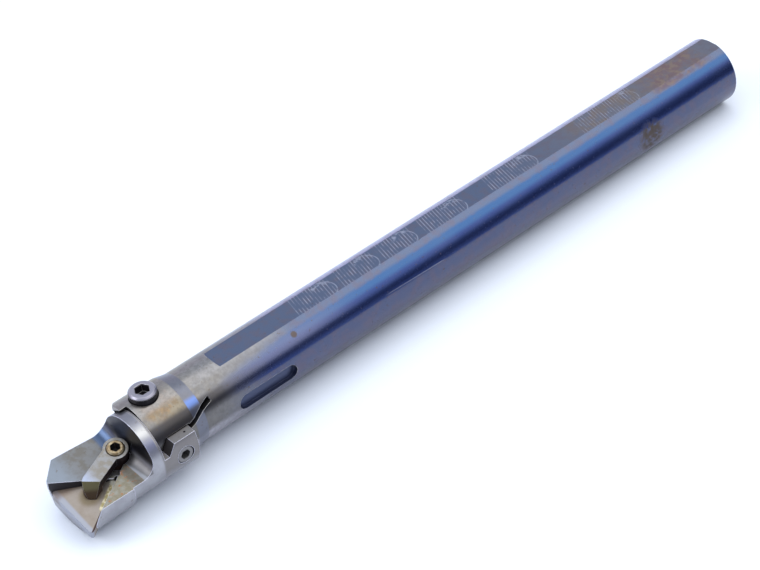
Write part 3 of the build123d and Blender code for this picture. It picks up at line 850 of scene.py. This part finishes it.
# %% [markdown]
# ## The carbide seat
# The insert sat on this triangle of carbide. It is brownish, bluer at its ground front and
# darker by the far wall. A pale yellowish strip, which looks like chipped dirt, runs along
# its near edge. The strip follows that edge, so its mask is the distance from a line.

# %% Ground, browned carbide
CARBIDE_GREY = rgb(0.3, 0.26, 0.23)
CARBIDE_BROWN = rgb(0.22, 0.17, 0.13)
GROUND_BLUE = rgb(0.32, 0.34, 0.41)
WALL_BROWN = rgb(0.16, 0.1, 0.07)
GROUND_X = (0.3022, 0.3032)
WALL_BROWN_Y = (0.003, 0.0005)

seat = Steel("carbide", CARBIDE_GREY, roughness=0.36, metal=0.7)
seat.lay(seat.patches(scale=160.0, level=0.5, softness=0.2), CARBIDE_BROWN, strength=0.6)
seat.lay(fade(seat.x, *GROUND_X), GROUND_BLUE, strength=0.8)
seat.lay(fade(seat.y, *WALL_BROWN_Y), WALL_BROWN, strength=0.6)
print("ground edge beyond x =", GROUND_X[0])

# %% The seat's near edge
CHIPPED = rgb(0.42, 0.35, 0.15)
CHIP_PALE = rgb(0.75, 0.68, 0.5)
DARK_EDGE = rgb(0.05, 0.02, 0.015)
EDGE_PLACE = (0.287, 0.0081)
EDGE_ACROSS = (0.511, 0.859)
CHIP_WIDTH = (0.0014, 0.0009)
DARK_WIDTH = (0.0004, 0.0002)
CHIP_END_X = (0.2972, 0.2962)
SEAT_TOP_COSINES = (0.97, 0.99)

edge_run = times(calc("SUBTRACT", seat.x, EDGE_PLACE[0]), EDGE_ACROSS[0])
edge_rise = times(calc("SUBTRACT", seat.y, EDGE_PLACE[1]), EDGE_ACROSS[1])
from_edge = calc("SUBTRACT", edge_run, edge_rise)
chipped = times(fade(from_edge, *CHIP_WIDTH), fade(seat.x, *CHIP_END_X))
seat.lay(chipped, CHIPPED, strength=0.8, roughness=0.5)
seat.lay(times(chipped, seat.patches(scale=900.0, level=0.52)), CHIP_PALE, strength=0.8)
beyond_chips = fade(seat.x, *reversed(CHIP_END_X))
dark_edge = times(fade(from_edge, *DARK_WIDTH), beyond_chips, seat.facing(RAKE, *SEAT_TOP_COSINES))
seat.lay(dark_edge, DARK_EDGE, strength=0.9, roughness=0.6)
print("chipped strip up to", CHIP_WIDTH[0] * 1000, "mm wide")

# %% Painted reflection, shade and dirt on the seat
NOSE_REFLECTION_AND_SHADOW = rgb(0.2, 0.15, 0.07)
NOSE_REFLECTION_PLACE = (0.2965, 0.0072, -0.0034)
NOSE_REFLECTION_RADIUS = 0.0036
CORNER_DIRT_AND_SHADE = rgb(0.12, 0.08, 0.03)
CORNER_GRIT = rgb(0.5, 0.48, 0.42)
CORNER_GRIT_PLACE = (0.2872, 0.008, -0.0032)
CORNER_GRIT_RADIUS = 0.0016

# A brownish painted reflection and contact shadow of the clamp's nose on the seat.
seat.lay(seat.spot(NOSE_REFLECTION_PLACE, NOSE_REFLECTION_RADIUS), NOSE_REFLECTION_AND_SHADOW, strength=0.6, roughness=0.5)
# Dirt and painted shade in the seat's corners.
seat.lay(seat.corners(distance=0.002, shut=0.3, open_air=0.7), CORNER_DIRT_AND_SHADE, strength=0.9, roughness=0.6)
seat.lay(seat.spot(CORNER_GRIT_PLACE, CORNER_GRIT_RADIUS), CORNER_GRIT, strength=0.9)
carbide = seat.finish()
print("seat's finish:", len(seat.tree.nodes), "nodes")

# %% [markdown]
# ## A finish for each piece
# Only the materials of the CAD pieces change. The pin under the seat is out of sight and
# shares the adjusting screw's dull steel.

# %% Give the pieces their finishes
finishes = {
    "shank_bar": bar_steel,
    "cutting_head": head_steel,
    "insert_clamp": clamp_steel,
    "insert_clamp_screw": golden_steel,
    "jaw_cap_screw": black_steel,
    "head_adjusting_screw": dull_steel,
    "insert_seat": carbide,
    "seat_pin": dull_steel,
}
for node, material in finishes.items():
    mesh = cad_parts[node].data
    mesh.materials.clear()
    mesh.materials.append(material)
print("finishes:", {node: material.name for node, material in finishes.items()})

# %% [markdown]
# ## The floor
# The bar rests on the rear end of its lower flat and on the head's underside, which hangs a
# little lower. CAD keeps the bar level, so the floor tips instead: it starts at the rear and
# slopes until it just touches the head. It is plain pale paper, far larger than the bar, so
# that its colour is the background.

# %% Lay the floor under the bar
FLOOR_HALF = 3.0
FLOOR_COLOUR = rgb(0.85, 0.88, 0.95)
REAR_SLICE = 0.0001


def points(node):
    """The corner points of a piece's mesh."""
    return [vertex.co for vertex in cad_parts[node].data.vertices]


rear_height = min(point.z for point in points("shank_bar") if point.x < REAR_SLICE)
slope = min((point.z - rear_height) / point.x for point in points("cutting_head"))
floor_rear = Vector((0.0, 0.0, rear_height))
along = Vector((1.0, 0.0, slope)).normalized()
across = Vector((0.0, 1.0, 0.0))
corners = [
    floor_rear + along * (FLOOR_HALF * i) + across * (FLOOR_HALF * j)
    for i, j in ((-1, -1), (1, -1), (1, 1), (-1, 1))
]
floor_mesh = bpy.data.meshes.new("floor")
floor_mesh.from_pydata(corners, [], [(0, 1, 2, 3)])
floor = bpy.data.objects.new("floor", floor_mesh)
bpy.context.collection.objects.link(floor)
paper = bpy.data.materials.new("paper")
paper.use_nodes = True
feed(paper.node_tree.nodes["Principled BSDF"], {"Base Color": FLOOR_COLOUR, "Roughness": 0.9})
floor_mesh.materials.append(paper)
print("floor slopes by", round(slope, 5), "from z =", round(rear_height, 5))

# %% [markdown]
# ## Soft light
# Polished steel shows its lights as streaks. A small lamp would give one hard white line, so
# a wide panel overhead makes a broad soft one, and a weaker panel in front lights the
# head's faces.


# %% Two panels
def soft_light(name, place, aim, size, power, tint):
    """A square area light at a place, pointing at aim."""
    panel = bpy.data.lights.new(name, "AREA")
    panel.size = size
    panel.energy = power
    panel.color = tint
    light = bpy.data.objects.new(name, panel)
    direction = Vector(aim) - Vector(place)
    turn = direction.to_track_quat("-Z", "Y").to_matrix().to_4x4()
    light.matrix_world = Matrix.Translation(place) @ turn
    bpy.context.collection.objects.link(light)
    return light


key = soft_light(
    "overhead",
    place=(-0.15, 0.3, 0.95),
    aim=(0.17, 0.0, 0.0),
    size=1.7,
    power=9.2,
    tint=(1.0, 0.97, 0.91),
)
side = soft_light(
    "front_side",
    place=(0.9, -0.3, 0.6),
    aim=(0.2, 0.0, 0.0),
    size=0.5,
    power=3.0,
    tint=(0.95, 0.97, 1.0),
)
print("lights:", [key.name, side.name])

# %% [markdown]
# ## The room
# Steel needs something to reflect. An even sky would make it flat, so the room is bright
# above, pale on the far side and dark blue low down. A camera ray that misses the floor sees
# plain white, while reflections still see the room.

# %% A sky for the reflections
HIGH_SKY = rgb(0.78, 0.88, 1.0)
LOW_SKY = rgb(0.07, 0.09, 0.17)
FAR_SKY = rgb(0.8, 0.8, 0.95)
WHITE = rgb(1.0, 1.0, 1.0)
SKY_RISE = (0.25, 0.65)
FAR_SIDE = (-0.3, -0.7)
ROOM_STRENGTH = 1.08

world = bpy.context.scene.world or bpy.data.worlds.new("world")
bpy.context.scene.world = world
world.use_nodes = True
sky = world.node_tree
sky.nodes.clear()
view = add(sky, "ShaderNodeTexCoord").outputs["Generated"]
view_parts = add(sky, "ShaderNodeSeparateXYZ", {0: view}).outputs
low_sky = mix_colours(fade(view_parts["Y"], *FAR_SIDE), LOW_SKY, FAR_SKY)
room_colour = mix_colours(fade(view_parts["Z"], *SKY_RISE), low_sky, HIGH_SKY)
room = add(sky, "ShaderNodeBackground", {"Color": room_colour, "Strength": ROOM_STRENGTH})
white = add(sky, "ShaderNodeBackground", {"Color": WHITE, "Strength": 1.0})
seen = add(sky, "ShaderNodeLightPath").outputs["Is Camera Ray"]
shown = add(sky, "ShaderNodeMixShader", {0: seen, 1: room.outputs[0], 2: white.outputs[0]})
add(sky, "ShaderNodeOutputWorld", {"Surface": shown.outputs[0]})
print("room strength:", ROOM_STRENGTH)

# %% [markdown]
# ## The camera
# The camera looks down on the head from the front near corner, through a long lens that
# keeps the bar's taper slight. Its three directions are written out, because the view also
# leans a little to one side, which aiming at a point would lose.

# %% Place the camera
CAMERA_PLACE = (0.5214, 0.4688, 0.4980)
CAMERA_RIGHT = (-0.74709, 0.65876, -0.08878)
CAMERA_UP = (-0.48057, -0.44301, 0.75683)
CAMERA_AHEAD = (-0.45925, -0.60808, -0.64755)
SENSOR_WIDTH_MM = 36.0
LENS_MM = 106.58
CLIP_START = 0.01

lens = bpy.data.cameras.new("camera")
lens.sensor_width = SENSOR_WIDTH_MM
lens.lens = LENS_MM
lens.clip_start = CLIP_START
camera = bpy.data.objects.new("camera", lens)
back = -Vector(CAMERA_AHEAD)
turn = Matrix((CAMERA_RIGHT, CAMERA_UP, back)).transposed().to_4x4()
camera.matrix_world = Matrix.Translation(CAMERA_PLACE) @ turn
bpy.context.collection.objects.link(camera)
bpy.context.scene.camera = camera
bpy.context.scene.view_settings.view_transform = "Standard"
print("lens:", LENS_MM, "mm")
